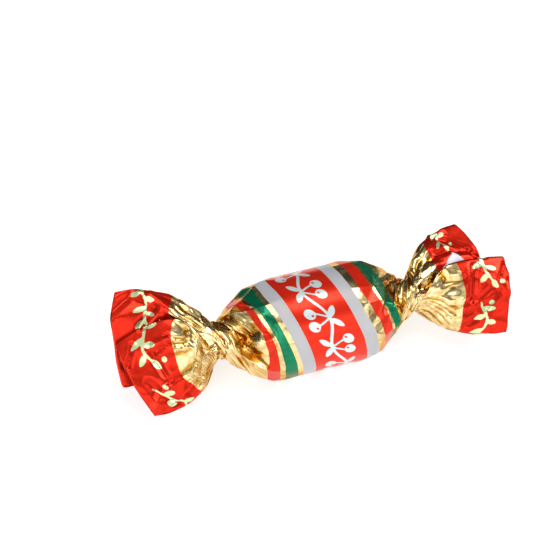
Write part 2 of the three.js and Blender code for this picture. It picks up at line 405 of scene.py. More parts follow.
@dataclass
class TwistWrapper:
    """The printed film round the chocolate, twisted at both ends.

    Attributes:
        body_radius: Radius of the barrel.
        neck_radius: Radius of the gathered neck.
        neck_half_length: Half of the narrowest stretch.
        neck_lift: How far the necks lie above the barrel's axis.
        rest_flat_depth: How deep the underside is pressed flat.
        fan_tilt: Lean of the fans' width above the table, in degrees.
        twist_turns: Turns of twist in each end.
        twist_reach: How far the twist reaches into the shoulder.
        print_skew: Lean of the printed bands on the barrel, in degrees.
        skew_span: Distances inside a neck between which the bands come to that lean.
        line_up: Share of a fan's length in which its folds come into line with its free edge.
        broad, fine: Folds of the shoulders and the necks.
        fan_folds: Folds of the fans, in millimetres.
        first_folds: Share of the folds' depth that the film starts with.
        tight_half: Half of the barrel's stretch where the film is tight.
        loosening: Length over which it comes loose beyond that.
        lining_depth: How far the lining lies inside the printed face.
        lining_rows: Rows of lining in from each free edge.
        ends: The two ends.
        columns: Points round the film.
        fan_rows, neck_rows, shoulder_rows, barrel_rows: Rows of points along each part of it.
    """

    body_radius: float = 9.7
    neck_radius: float = 3.5
    neck_half_length: float = 0.6
    neck_lift: float = 0.6
    rest_flat_depth: float = 0.3
    fan_tilt: float = 43.5
    twist_turns: float = 0.5
    twist_reach: float = 6.5
    print_skew: float = 16.8
    skew_span: tuple[float, float] = (1.0, 8.0)
    line_up: float = 0.4
    broad: Pleats = Pleats(5, 0.09, 0.15)
    fine: Pleats = Pleats(9, 0.17, 0.6)
    fan_folds: Pleats = Pleats(13, 0.6, 0.35)
    first_folds: float = 0.8
    tight_half: float = 5.0
    loosening: float = 4.0
    lining_depth: float = 0.04
    lining_rows: int = 27
    ends: dict[Side, FilmEnd] = field(default_factory=lambda: {Side.LEFT: LEFT_END, Side.RIGHT: RIGHT_END})
    columns: int = 280
    fan_rows: int = 60
    neck_rows: int = 8
    shoulder_rows: int = 44
    barrel_rows: int = 48

    @property
    def axis_height(self) -> float:
        """Height of the barrel's axis."""
        return self.body_radius - self.rest_flat_depth

    @property
    def neck_height(self) -> float:
        """Height of the line through the necks."""
        return self.axis_height + self.neck_lift

    @property
    def turns(self) -> np.ndarray:
        """Place of each column round the film, in turns."""
        return np.arange(self.columns) / self.columns

    @property
    def across_up(self) -> np.ndarray:
        """Direction up along the fans' width."""
        lean = math.radians(self.fan_tilt)
        return np.array([0.0, math.cos(lean), math.sin(lean)])

    @property
    def across_front(self) -> np.ndarray:
        """Direction forward out of the fans' face."""
        lean = math.radians(self.fan_tilt)
        return np.array([0.0, -math.sin(lean), math.cos(lean)])

    def fan_start(self, side: Side) -> float:
        """Returns the place along the sweet where a fan begins to open."""
        return side.value * (self.ends[side].neck_at + self.neck_half_length)

    def place(self, x: np.ndarray, height: np.ndarray, up: np.ndarray, front: np.ndarray) -> np.ndarray:
        """Finds the points at a distance up and forward from the line through the necks.

        Args:
            x: Places along the sweet.
            height: Height of that line.
            up: Distances up across the fans.
            front: Distances forward.

        Returns:
            The points, with a last axis of x, y and z.
        """
        x, height, up, front = np.broadcast_arrays(x, height, up, front)
        points = np.zeros(x.shape + (3,))
        points[..., 0] = x
        points[..., 2] = height
        return points + up[..., None] * self.across_up + front[..., None] * self.across_front

    def twist_at(self, from_neck: np.ndarray) -> np.ndarray:
        """Returns the turns of twist taken at a distance from a neck towards the barrel."""
        share = (from_neck + self.twist_reach / 2) / (1.5 * self.twist_reach)
        return self.twist_turns * smoothstep(share)

    def body_rows(self, side: Side, from_neck: np.ndarray, pleated: float) -> np.ndarray:
        """Lays rows of film round the chocolate and its neck.

        Args:
            side: The end.
            from_neck: Distance of each row from the neck, towards the barrel.
            pleated: Share of the folds' full depth.

        Returns:
            The points with the place along the print and round the outline, last axis of 5.
        """
        end = self.ends[side]
        away = np.asarray(from_neck, float)[:, None]
        turn = self.turns[None, :]
        rise = np.clip((away - self.neck_half_length) / end.shoulder, 0, 1)
        fill = 1 - (1 - rise) ** end.fullness
        radius = self.neck_radius + (self.body_radius - self.neck_radius) * fill
        height = self.neck_height + (self.axis_height - self.neck_height) * fill
        broad = self.broad.depth * (1 - rise**3)
        fine = self.fine.depth * (1 - rise) ** 1.5
        radius = radius * (1 + pleated * (broad * self.broad.wave(turn) + fine * self.fine.wave(turn)))
        angle = FULL_TURN * (turn + self.twist_at(away))
        x = side.value * (end.neck_at - away)
        up = radius * np.cos(angle)
        points = self.place(x, height, up, radius * np.sin(angle))
        lift_to_table(points)
        lean = math.tan(math.radians(self.print_skew)) * ease(away, *self.skew_span)
        return self.sheet(points, points[..., 0] + lean * up, turn)

    @staticmethod
    def sheet(points: np.ndarray, along: np.ndarray, around: np.ndarray) -> np.ndarray:
        """Returns the points with the place along the print and round the outline behind them."""
        return np.stack([*np.moveaxis(points, -1, 0), along, np.broadcast_to(around, along.shape)], -1)

    def edge_points(self, side: Side) -> np.ndarray:
        """Spreads a row's points over a fan's corners by length, with a point on every corner.

        Args:
            side: The end.

        Returns:
            The distance out, up and forward of each point, its bare film, bow and lap.
        """
        corners = np.array([(c.out, c.up, c.front, c.bare, c.bow, c.lap) for c in self.ends[side].corners])
        ahead = np.roll(corners, -1, axis=0)
        lengths = np.linalg.norm((ahead - corners)[:, :3], axis=1)
        reached = np.concatenate([[0.0], np.cumsum(lengths)]) / lengths.sum()
        stations = np.round(reached * self.columns).astype(int)
        points = [
            corners[k] + (ahead[k] - corners[k]) * share
            for k in range(len(corners))
            for share in np.arange(stations[k + 1] - stations[k])[:, None]
            / (stations[k + 1] - stations[k])
        ]
        edge = np.array(points)
        for _ in range(2):
            edge = 0.5 * edge + 0.25 * (np.roll(edge, 1, axis=0) + np.roll(edge, -1, axis=0))
        return edge

    def edge_angles(self, edge: np.ndarray) -> np.ndarray:
        """Finds the angle round the neck that lies in line with each point of a fan's free edge.

        Args:
            edge: The free edge's points, as edge_points gives them.

        Returns:
            Angles from 0 at the top, through half a turn at the bottom, to a full turn behind.
        """
        up = edge[:, 1]
        reach = np.where(up > 0, up.max(), -up.min())
        angle = np.arccos(np.clip(up / reach, -1, 1))
        behind = np.arange(len(edge)) > np.argmin(up)
        return np.where(behind, FULL_TURN - angle, angle)

    def fan_rows_of(self, side: Side, along: np.ndarray, pleated: float) -> np.ndarray:
        """Lays rows of film over a fan.

        Args:
            side: The end.
            along: Place of each row, from the neck (0) to the free edge (1).
            pleated: Share of the folds' full depth.

        Returns:
            The points with the place along the print and round the outline, last axis of 5.
        """
        end = self.ends[side]
        share = np.asarray(along, float)[:, None]
        opened = 1 - (1 - share) ** end.spread
        swelling = np.sin(math.pi * np.sqrt(share))
        turn = self.turns[None, :]
        edge = self.edge_points(side)
        lined_up = smoothstep(share / self.line_up)
        angle = FULL_TURN * turn * (1 - lined_up) + self.edge_angles(edge) * lined_up
        edge = edge[None, :, :]
        around = angle / FULL_TURN
        neck = self.neck_radius * (1 + pleated * self.fine.depth * (1 - share) * self.fine.wave(around))
        folds = self.fan_folds.depth * (1 - share) * np.minimum(1, 4 * share)
        depth = end.puff * swelling + pleated * folds * self.fan_folds.wave(around)
        rise = swelling * np.cos(angle) * np.where(np.cos(angle) > 0, end.crown, end.belly)
        bowed = np.sin(math.pi * share**0.75)
        up = neck * np.cos(angle) * (1 - opened) + edge[..., 1] * opened + rise
        up = up + edge[..., 4] * bowed
        front = neck * np.sin(angle) * (1 - opened) + edge[..., 2] * opened + depth * np.sin(angle)
        front = front + edge[..., 5] * bowed
        x = self.fan_start(side) + side.value * edge[..., 0] * share
        points = self.place(x, np.array(self.neck_height), up, front)
        across = np.hypot(up - neck * np.cos(angle), front - neck * np.sin(angle))
        reach = np.hypot(edge[..., 0] * share, across) * PRINT_BARE / edge[..., 3]
        return self.sheet(points, self.fan_start(side) + side.value * reach, around)

    def end_rows(self, side: Side, pleated: float) -> np.ndarray:
        """Lays every row of one end, from the fan's free edge to the end of the shoulder.

        Args:
            side: The end.
            pleated: Share of the folds' full depth.

        Returns:
            The points with the place along the print and round the outline, last axis of 5.
        """
        fan = (np.arange(self.fan_rows, 0, -1) / self.fan_rows) ** 1.1
        neck = self.neck_half_length * (2 * np.arange(self.neck_rows) / self.neck_rows - 1)
        rise = np.arange(self.shoulder_rows + 1) / self.shoulder_rows
        body = np.concatenate([neck, self.neck_half_length + self.ends[side].shoulder * rise])
        return np.concatenate([self.fan_rows_of(side, fan, pleated), self.body_rows(side, body, pleated)])

    def rows(self, pleated: float) -> np.ndarray:
        """Lays every row of the film from left to right.

        Args:
            pleated: Share of the folds' full depth.

        Returns:
            The points with the place along the print and round the outline, last axis of 5.
        """
        left = self.end_rows(Side.LEFT, pleated)
        right = self.end_rows(Side.RIGHT, pleated)[::-1]
        share = (np.arange(1, self.barrel_rows) / self.barrel_rows)[:, None, None]
        return np.concatenate([left, left[-1] + (right[0] - left[-1]) * share, right])

    def film(self) -> FilmTube:
        """Lays the film with its first folds, centred over the origin.

        Returns:
            The film before its slack has buckled.
        """
        smooth = self.rows(0.0)
        resting, along, around = smooth[..., :3], smooth[..., 3], smooth[..., 4]
        middle = (resting.reshape(-1, 3).max(0) + resting.reshape(-1, 3).min(0)) / 2
        middle[2] = 0.0
        x = resting[..., 0].mean(axis=1, keepdims=True) * np.ones_like(along)
        slack = np.clip((np.abs(x) - self.tight_half) / self.loosening, 0, 1)
        neck = np.where(x < 0, self.ends[Side.LEFT].neck_at, self.ends[Side.RIGHT].neck_at)
        turn = np.broadcast_to(self.turns, along.shape)
        return FilmTube(
            points=self.rows(self.first_folds)[..., :3] - middle,
            resting=resting - middle,
            along=along.copy(),
            turn=turn.copy(),
            around=around.copy(),
            slack=slack,
            beyond=np.abs(x) - neck,
            middle=middle,
        )

    def seen_from_front(self, film: FilmTube, side: Side) -> tuple[np.ndarray, np.ndarray, np.ndarray]:
        """Finds where the film lies as seen straight onto the face of a fan.

        Args:
            film: The film.
            side: The end that the distances are measured at.

        Returns:
            The distance out beyond the fan's start, the height across the fan, and how squarely the film
            there belongs to the front, from 0 to 1.
        """
        points = film.resting + film.middle - (0.0, 0.0, self.neck_height)
        out = side.value * (points[..., 0] - self.fan_start(side))
        facing = np.clip(1.5 * (film.outward(self.across_front) @ self.across_front), 0, 1)
        facing = np.where(film.beyond > LAYERS_PART, (film.around % 1.0 < 0.5) * 1.0, facing)
        return out, points @ self.across_up, facing

    def reverse_shown(self, film: FilmTube) -> np.ndarray:
        """Finds the small folds that show the film's pale reverse.

        Args:
            film: The film.

        Returns:
            1 inside such a fold and 0 outside it.
        """
        shown = np.zeros(film.turn.shape)
        for side, end in self.ends.items():
            if not end.turned:
                continue
            out, up, facing = self.seen_from_front(film, side)
            hidden = np.argmin(np.diff(self.edge_angles(self.edge_points(side)))) / self.columns
            inside = (facing > 0.5) & (film.turn < hidden)
            corners = np.array(end.turned)
            for (a, b), (c, d) in zip(corners, np.roll(corners, -1, axis=0)):
                inside &= (c - a) * (up - b) - (d - b) * (out - a) < 0
            shown[inside] = 1.0
        return shown

    def mesh(self, film: FilmTube, motif: np.ndarray) -> bpy.types.Object:
        """Makes the film's closed mesh: its printed outer face and the lining inside each open fan.

        Args:
            film: The settled film.
            motif: How deep inside an ornament each point is.

        Returns:
            The wrapper's object, with its print's attributes and the mask of its painted crease shade.
        """
        rows, columns = film.along.shape
        lining = self.lining_rows
        inner = film.points - self.lining_depth * surface_normals(film.points)
        order = [
            *((inner, r, 1.0) for r in range(lining, -1, -1)),
            *((film.points, r, 0.0) for r in range(rows)),
            *((inner, r, 1.0) for r in range(rows - 1, rows - 2 - lining, -1)),
        ]
        grid = np.array([source[r] for source, r, _ in order])
        picks = [r for _, r, _ in order]
        reverse = self.reverse_shown(film)
        inside = np.array([np.maximum(reverse[r], flag) for _, r, flag in order])
        outwards = np.array([1 - 2 * flag * np.ones(columns) for _, _, flag in order])
        count = len(order)
        index = np.arange(count * columns).reshape(count, columns)
        ahead = after(index)
        quads = np.stack([index[:-1], ahead[:-1], ahead[1:], index[1:]], axis=-1).reshape(-1, 4)
        # Both layers are split along the same diagonals, so that the lining doesn't poke through.
        outer = (outwards[:-1] + outwards[1:] > 0).reshape(-1)[:, None, None]
        triangles = np.where(outer, quads[:, [[0, 1, 2], [0, 2, 3]]], quads[:, [[0, 1, 3], [1, 2, 3]]])
        faces = [tuple(t) for t in triangles.reshape(-1, 3).tolist()]
        vertices = np.concatenate([grid.reshape(-1, 3), [grid[0].mean(0)], [grid[-1].mean(0)]])
        first, last = len(vertices) - 2, len(vertices) - 1
        faces += [(first, int(b), int(a)) for a, b in zip(index[0], ahead[0])]
        faces += [(last, int(a), int(b)) for a, b in zip(index[-1], ahead[-1])]
        data = bpy.data.meshes.new("printed_wrapper")
        data.from_pydata((vertices * MM).tolist(), [], faces)
        for name, values in (
            ("along", film.along[picks]),
            ("turn", film.turn[picks]),
            ("slack", film.slack[picks]),
            ("inside", inside),
            ("outwards", outwards),
            ("motif", np.where(inside > 0.5, -1.0, motif[picks])),
            # Painted shade: how deep each point lies in a hollow, which the shader uses to darken the foil
            # there.
            ("crease", Crumple.hollows(film)[picks]),
        ):
            layer = data.attributes.new(name, "FLOAT", "POINT")
            flat = np.concatenate([values.reshape(-1), values[0, :1], values[-1, :1]])
            layer.data.foreach_set("value", flat.astype(np.float32))
        data.polygons.foreach_set("use_smooth", np.ones(len(data.polygons), bool))
        data.update()
        data.validate()
        wrapper = bpy.data.objects.new("printed_wrapper", data)
        bpy.context.scene.collection.objects.link(wrapper)
        return wrapper


@dataclass(frozen=True)
class Facets:
    """Crisp flat facets between random creases, as crumpled foil has.

    Attributes:
        around: Facets in one turn.
        lengthwise: Facets over the film's length.
        seed: Fixes the creases.
        stray: How far a corner strays from its place in the pattern, as a share of a facet.
        margin: How far the pattern is carried on beyond a whole turn, so that it closes.
    """

    around: int
    lengthwise: int
    seed: int
    stray: float = 0.42
    margin: float = 0.25

    def field(self, rows: int, columns: int) -> np.ndarray:
        """Returns the facets' heights over the film, roughly from -1 to 1, rows by columns."""
        corners, heights, triangles = self._joined(rows, columns)
        return self._spread((rows, columns), corners, heights[:, None], triangles)[..., 0]

    def flattened(self, points: np.ndarray) -> np.ndarray:
        """Flattens a film between its creases, and keeps it where the creases meet.

        Args:
            points: The film's points, rows by columns by 3.

        Returns:
            The points moved straight onto the facets.
        """
        rows, columns, _ = points.shape
        corners, _, triangles = self._joined(rows, columns)
        low = np.clip(np.floor(corners).astype(int), (-columns, 0), (2 * columns, rows - 2))
        share = np.clip(corners - low, 0, 1)[..., None]
        u, v = low[:, 0], low[:, 1]
        lower, upper = (
            points[row, u % columns] * (1 - share[:, 0]) + points[row, (u + 1) % columns] * share[:, 0]
            for row in (v, v + 1)
        )
        at_corners = lower * (1 - share[:, 1]) + upper * share[:, 1]
        return self._spread((rows, columns), corners, at_corners, triangles)

    def _joined(self, rows: int, columns: int) -> tuple[np.ndarray, np.ndarray, list]:
        """Scatters the corners, gives each a height, and joins them by triangles.

        Args:
            rows: Rows of the film.
            columns: Columns of the film, closed round the tube.

        Returns:
            The corners as columns and rows, their heights, and the triangles between them.
        """
        random = np.random.default_rng(self.seed)
        grid_u, grid_v = np.meshgrid(np.arange(self.around), np.arange(-1, self.lengthwise + 2))
        shape, stray = grid_u.shape, self.stray
        u = (grid_u + 0.5 * (grid_v % 2) + random.uniform(-stray, stray, shape)) / self.around
        v = (grid_v + random.uniform(-stray, stray, shape)) / self.lengthwise
        height = random.uniform(-1, 1, shape)
        u = np.concatenate([u.ravel() - 1, u.ravel(), u.ravel() + 1]) * columns
        v = np.tile(v.ravel(), 3) * (rows - 1)
        height = np.tile(height.ravel(), 3)
        keep = (u > -columns * self.margin) & (u < columns * (1 + self.margin))
        spots = np.stack([u[keep], v[keep]], axis=1)
        height = height[keep]
        stretch = rows / columns
        corners, _, triangles, origin, _, _ = delaunay_2d_cdt(
            [Vector((a * stretch, b)) for a, b in spots], [], [], 0, 1e-6
        )
        corners = np.array([(c.x / stretch, c.y) for c in corners])
        return corners, np.array([height[o[0]] for o in origin]), triangles

    @staticmethod
    def _spread(
        shape: tuple[int, int], corners: np.ndarray, at_corners: np.ndarray, triangles: list
    ) -> np.ndarray:
        """Fills each facet with values that run straight between its corners.

        Args:
            shape: Rows and columns of the film.
            corners: The corners, as columns and rows.
            at_corners: The values at the corners.
            triangles: The corners of each facet.

        Returns:
            The values over the film, rows by columns by values.
        """
        spread = np.zeros((*shape, at_corners.shape[1]))
        for triple in map(list, triangles):
            (x0, y0), (x1, y1), (x2, y2) = corners[triple]
            low = np.maximum(np.ceil(corners[triple].min(0) - 1e-6).astype(int), 0)
            high = np.floor(corners[triple].max(0) + 1e-6).astype(int)
            high = np.minimum(high, (shape[1] - 1, shape[0] - 1))
            area = (y1 - y2) * (x0 - x2) + (x2 - x1) * (y0 - y2)
            if (high < low).any() or abs(area) < 1e-12:
                continue
            u, v = np.meshgrid(np.arange(low[0], high[0] + 1), np.arange(low[1], high[1] + 1))
            a = ((y1 - y2) * (u - x2) + (x2 - x1) * (v - y2)) / area
            b = ((y2 - y0) * (u - x2) + (x0 - x2) * (v - y2)) / area
            inside = (a >= -1e-9) & (b >= -1e-9) & (a + b <= 1 + 1e-9)
            shares = np.stack([a, b, 1 - a - b], axis=-1)[inside]
            spread[v[inside], u[inside]] = shares @ at_corners[triple]
        return spread


@dataclass
class FilmSettling:
    """Lets the film's slack buckle into folds round its smooth shape.

    The film can't stretch or shrink. Where the smooth shape is narrower than the film, its points push
    each other out of the way, first on a coarse grid and then on finer ones.

    Attributes:
        flat_width: Width of the film round the barrel.
        most_slack: Largest share by which the film is longer than its smooth shape.
        passes: Rounds of settling at each grid, from coarse to fine.
        facets: Large creases that the film starts with.
        facet_height: Their height.
        calm_share: Share of the slack that stays on the shoulders and where the fans begin to open.
        shoulder_calm: Distance from a neck where its shoulder's calm starts, and its length.
        fan_calm: How far the calm reaches over a fan, and the length of its fading.
        held: How firmly points are held to the smooth shape where the film is tight and where it is loose.
        round_stiffness, long_stiffness: How much the film resists bends round it and along it.
    """

    flat_width: float = FILM_WIDTH
    most_slack: float = 1.2
    passes: tuple[int, ...] = (260, 160, 60)
    facets: Facets = Facets(9, 22, 4)
    facet_height: float = 0.8
    calm_share: float = 0.35
    shoulder_calm: tuple[float, float] = (2.0, 3.0)
    fan_calm: tuple[float, float] = (7.0, 3.0)
    held: tuple[float, float] = (0.5, 0.006)
    round_stiffness: float = 0.03
    long_stiffness: float = 0.05

    def settle(self, film: FilmTube, wrapper: TwistWrapper) -> None:
        """Moves the film's points until the film has its own length again.

        Args:
            film: The film, whose points are changed.
            wrapper: The sweet's sizes.
        """
        rows, columns = film.along.shape
        loose, outward = film.slack, film.outward(wrapper.across_front)
        (near, run), (far, fade) = self.shoulder_calm, self.fan_calm
        calm = smoothstep((-film.beyond - near) / run)
        calm = calm + smoothstep(film.beyond) * smoothstep((far - film.beyond) / fade)
        folding = loose * (1 - (1 - self.calm_share) * calm)
        facets = self.facet_height * loose * film.sampled(self.facets.field(rows, columns))
        moved = film.points + outward * facets[..., None] - film.resting
        for level, passes in enumerate(self.passes):
            step = 2 ** (len(self.passes) - 1 - level)
            picks = np.unique(np.r_[0:rows:step, rows - 1])
            resting = film.resting[picks][:, ::step]
            points = resting + moved[picks][:, ::step]
            self._relax(points, resting, loose[picks][:, ::step], folding[picks][:, ::step], passes)
            moved = self._refine(points - resting, picks, rows, columns)
        film.points = film.resting + moved
        lift_to_table(film.points)

    def _relax(
        self, points: np.ndarray, resting: np.ndarray, loose: np.ndarray, folding: np.ndarray, passes: int
    ) -> None:
        """Settles one grid in place.

        Args:
            points: The grid's points, which are moved.
            resting: Their places on the smooth shape.
            loose: How loose the film is at each.
            folding: How much of its slack it may take up there.
            passes: Rounds of settling.
        """
        around = length(after(resting) - resting)
        perimeter = around.sum(axis=1, keepdims=True)
        own = np.maximum(self.flat_width, perimeter)
        around = around * np.minimum(own / perimeter, 1 + (self.most_slack - 1) * folding)
        lengthwise = length(resting[1:] - resting[:-1])
        hold = (self.held[0] * (1 - loose) ** 2 + self.held[1])[..., None]
        for _ in range(passes):
            self._pull(points[:, 0::2], points[:, 1::2], around[:, 0::2])
            self._pull(points[:, 1:-1:2], points[:, 2::2], around[:, 1:-1:2])
            self._pull(points[:, -1], points[:, 0], around[:, -1])
            for first in (0, 1):
                upper = points[first + 1 :: 2]
                lower = points[first : first + 2 * len(upper) : 2]
                self._pull(lower, upper, lengthwise[first::2][: len(upper)])
            bend = before(points) + after(points) - 2 * points
            bend = before(bend) + after(bend) - 2 * bend
            points -= self.round_stiffness * bend
            bend = points[:-2] + points[2:] - 2 * points[1:-1]
            points[1:-1] += self.long_stiffness * bend * loose[1:-1, :, None]
            points += hold * (resting - points)
            lift_to_table(points)

    @staticmethod
    def _pull(a: np.ndarray, b: np.ndarray, own: np.ndarray) -> None:
        """Moves neighbouring points to their own distance from each other.

        Args:
            a: The first points, which are moved.
            b: Their neighbours, which are moved.
            own: The distances between them.
        """
        gap = b - a
        now = np.sqrt(np.einsum("...k,...k->...", gap, gap)) + 1e-9
        gap *= (0.5 * (now - own) / now)[..., None]
        a += gap
        b -= gap

    @staticmethod
    def _refine(moved: np.ndarray, picks: np.ndarray, rows: int, columns: int) -> np.ndarray:
        """Spreads a coarse grid's movement over the whole film.

        Args:
            moved: How far each of the grid's points has moved.
            picks: The film's rows that the grid takes.
            rows: Rows of the film.
            columns: Columns of the film.

        Returns:
            How far each of the film's points moves.
        """
        if moved.shape[1] != columns:
            step = columns // moved.shape[1]
            wide = np.zeros((moved.shape[0], columns, 3))
            ahead = after(moved)
            for k in range(step):
                wide[:, k::step] = moved + (ahead - moved) * (k / step)
            moved = wide
        where = np.arange(rows)
        below = np.clip(np.searchsorted(picks, where, side="right") - 1, 0, len(picks) - 2)
        share = (where - picks[below]) / (picks[below + 1] - picks[below])
        return moved[below] + (moved[below + 1] - moved[below]) * share[:, None, None]


def surface_normals(points: np.ndarray) -> np.ndarray:
    """Finds the outward normals of a tube of points.

    Args:
        points: Rows by columns by 3, rows from left to right, columns by positive turn about x.

    Returns:
        Unit normals in the same layout.
    """
    along = np.gradient(points, axis=0)
    round_ = after(points) - before(points)
    normals = np.cross(round_, along)
    return normals / (length(normals)[..., None] + 1e-12)


@dataclass(frozen=True)
class Stroke:
    """A drawn line that swells and thins, in millimetres on the flat film.

    Attributes:
        path: Points along the line.
        half_widths: Half of the line's width at each point.
    """

    path: np.ndarray
    half_widths: np.ndarray

    def depth(self, spots: np.ndarray) -> np.ndarray:
        """Finds how deep inside the line each spot is; outside it is below 0.

        Args:
            spots: Places on the flat film, last axis of 2.

        Returns:
            Depths in millimetres.
        """
        deepest = np.full(spots.shape[:-1], -9.0)
        for k in range(len(self.path) - 1):
            start, run = self.path[k], self.path[k + 1] - self.path[k]
            share = np.clip(((spots - start) @ run) / max(run @ run, 1e-9), 0, 1)
            gap = length(spots - start - share[..., None] * run)
            width = self.half_widths[k] + (self.half_widths[k + 1] - self.half_widths[k]) * share
            deepest = np.maximum(deepest, width - gap)
        return deepest

    @staticmethod
    def swash(points: list[Spot], thick: float, thin: float) -> "Stroke":
        """Draws a smooth pen line through points, thin at its ends and thick between.

        Args:
            points: Places that the line passes through.
            thick: Half width in the middle.
            thin: Half width at the ends.

        Returns:
            The line.
        """
        knots = np.array([points[0], *points, points[-1]], float)
        share = np.linspace(0, 1, 9)[:-1, None]
        parts = []
        for a, b, c, d in zip(knots, knots[1:], knots[2:], knots[3:]):
            parts.append(
                0.5
                * (
                    2 * b
                    + (c - a) * share
                    + (2 * a - 5 * b + 4 * c - d) * share**2
                    + (3 * b - a - 3 * c + d) * share**3
                )
            )
        path = np.concatenate([*parts, [knots[-1]]])
        swell = np.sin(math.pi * np.linspace(0, 1, len(path)))
        return Stroke(path, thin + (thick - thin) * swell)


@dataclass(frozen=True)
class Ornaments:
    """Generic ornaments of the print: a cherry garland round the barrel, and leaf sprigs round each fan.

    Attributes:
        film_width: Width of the film round the barrel.
        garland_waves: Waves of the garland in one turn.
        sprigs: Sprigs in one turn.
        band_middle: Middle of the red band, along the film.
        sprig_middle: Middle of the sprigs, beyond each neck's end.
    """

    film_width: float = FILM_WIDTH
    garland_waves: int = 5
    sprigs: int = 5
    band_middle: float = 0.05
    sprig_middle: float = 12.0

    @staticmethod
    def leaf(spots: np.ndarray, root: Spot, tip: Spot, width: float) -> np.ndarray:
        """Finds how deep inside a pointed leaf each spot is.

        Args:
            spots: Places on the flat film.
            root: The leaf's root.
            tip: The leaf's tip.
            width: The leaf's full width.

        Returns:
            Depths in millimetres, below 0 outside.
        """
        root, tip = np.array(root), np.array(tip)
        half, middle = np.linalg.norm(tip - root) / 2, (root + tip) / 2
        along = (tip - root) / (2 * half)
        side = np.array([-along[1], along[0]])
        radius = (half * half + width * width / 4) / width
        offset = radius - width / 2
        first = radius - length(spots - middle - side * offset)
        second = radius - length(spots - middle + side * offset)
        return np.minimum(first, second)

    def garland(self, spots: np.ndarray) -> np.ndarray:
        """Draws one wave of a vine, with leaves outside each bend and a pair of cherries inside it.

        Args:
            spots: Places round (first) and along (second) the film, from the middle of the wave.

        Returns:
            Depths in millimetres, below 0 outside.
        """
        wave = self.film_width / self.garland_waves
        round_, across = spots[..., 0], spots[..., 1]
        phase = FULL_TURN * round_ / wave
        slope = FULL_TURN / wave * np.cos(phase)
        parts = [0.27 - np.abs(across - np.sin(phase)) / np.hypot(1, slope)]
        side = np.where(round_ < 0, -1.0, 1.0)
        half = np.stack([round_ * side - wave / 4, across * side], axis=-1)
        for x, y in ((-1.3, -2.15), (1.2, -2.5)):
            fruit = 1.06 - length(half - (x, y))
            shine = 0.26 - length(half - (x + 0.38, y + 0.36))
            parts.append(np.minimum(fruit, -shine))
            stalk = Stroke.swash([(0.0, 1.0), (x * 0.55, -0.2), (x, y + 0.9)], 0.17, 0.15)
            parts.append(stalk.depth(half))
        parts.append(self.leaf(half, (0.1, 1.1), (-2.1, 2.75), 1.15))
        parts.append(self.leaf(half, (0.3, 1.1), (2.3, 2.9), 1.15))
        return np.max(parts, axis=0)

    def sprig(self, spots: np.ndarray) -> np.ndarray:
        """Draws a bent stalk with leaves along it and two berries.

        Args:
            spots: Places round (first) and along (second) the film, from the sprig's middle.

        Returns:
            Depths in millimetres, below 0 outside.
        """
        stalk = [(-4.4, -1.2), (-2.2, -0.2), (0.0, 0.1), (2.2, -0.1), (4.0, 0.7)]
        parts = [Stroke.swash(stalk, 0.24, 0.13).depth(spots)]
        for root, tip in (
            ((-3.2, -0.7), (-3.0, 1.3)),
            ((-2.0, -0.2), (-1.1, -2.1)),
            ((-0.8, 0.0), (-0.4, 2.0)),
            ((0.6, 0.1), (1.5, -1.8)),
            ((1.6, 0.0), (2.1, 1.9)),
            ((2.8, 0.1), (4.2, -1.2)),
            ((3.8, 0.6), (5.5, 1.7)),
        ):
            parts.append(self.leaf(spots, root, tip, 0.9))
        for x, y in ((-4.2, 0.6), (4.4, 2.6)):
            parts.append(0.42 - length(spots - (x, y)))
        return np.max(parts, axis=0)

    def draw(self, film: FilmTube) -> np.ndarray:
        """Draws every ornament over the film.

        Args:
            film: The film.

        Returns:
            How deep inside an ornament each of its points is, in millimetres.
        """
        depth = np.full(film.along.shape, -1.0)
        left, right = (TwistWrapper().fan_start(side) for side in Side)
        for middle, half, count, shift, shape in (
            (self.band_middle, 4.2, self.garland_waves, 0.0, self.garland),
            (left - self.sprig_middle, 3.4, self.sprigs, 0.3, self.sprig),
            (right + self.sprig_middle, 3.4, self.sprigs, 0.55, self.sprig),
        ):
            here = np.abs(film.along - middle) < half
            part = (film.turn[here] * count + shift) % 1.0 - 0.5
            spots = np.stack([part * self.film_width / count, film.along[here] - middle], axis=-1)
            depth[here] = np.clip(shape(spots), -1, 1)
        return depth


@dataclass(frozen=True)
class Crease:
    """A crisp crease across the front of the film.

    Attributes:
        height: How far its line stands out; below 0 it is a valley.
        reach: How far its flanks reach to either side.
        path: Places along it, as distance out beyond the fan's start and height across the fan.
    """

    height: float
    reach: float
    path: tuple[Spot, ...]

    def lift(self, out: np.ndarray, up: np.ndarray) -> np.ndarray:
        """Finds how far the crease lifts the film.

        Args:
            out: Distances out beyond the fan's start.
            up: Heights across the fan.

        Returns:
            Lifts in millimetres, straight down to nothing on both flanks.
        """
        widths = np.full(len(self.path), self.reach)
        depth = Stroke(np.array(self.path), widths).depth(np.stack([out, up], axis=-1))
        return self.height * np.maximum(depth, 0.0) / self.reach


@dataclass(frozen=True)
class RayPleats:
    """A bundle of fine pleats that ray out from a neck over the front of a fan.

    Attributes:
        angles: Lowest and highest ray, in degrees above straight out from the neck.
        reach: Nearest and farthest distance from the neck.
        step: Angle from one pleat to the next, in degrees.
        height: Height of a pleat.
    """

    angles: tuple[float, float]
    reach: tuple[float, float]
    step: float
    height: float

    def lift(self, out: np.ndarray, up: np.ndarray) -> np.ndarray:
        """Finds how far the pleats lift the film.

        Args:
            out: Distances out beyond the fan's start.
            up: Heights across the fan.

        Returns:
            Lifts in millimetres, fading out round the bundle.
        """
        angle = np.degrees(np.arctan2(up, out + 1.0))
        far = np.hypot(up, out + 1.0)
        inside = smoothstep((angle - self.angles[0]) / 4) * smoothstep((self.angles[1] - angle) / 4)
        inside = inside * smoothstep(far - self.reach[0]) * smoothstep(self.reach[1] - far)
        phase = angle / self.step + 0.25 * np.sin(0.9 * far) + 0.45 * np.sin(angle / 6)
        return self.height * inside * (1 - 4 * np.abs(phase - np.floor(phase) - 0.5))


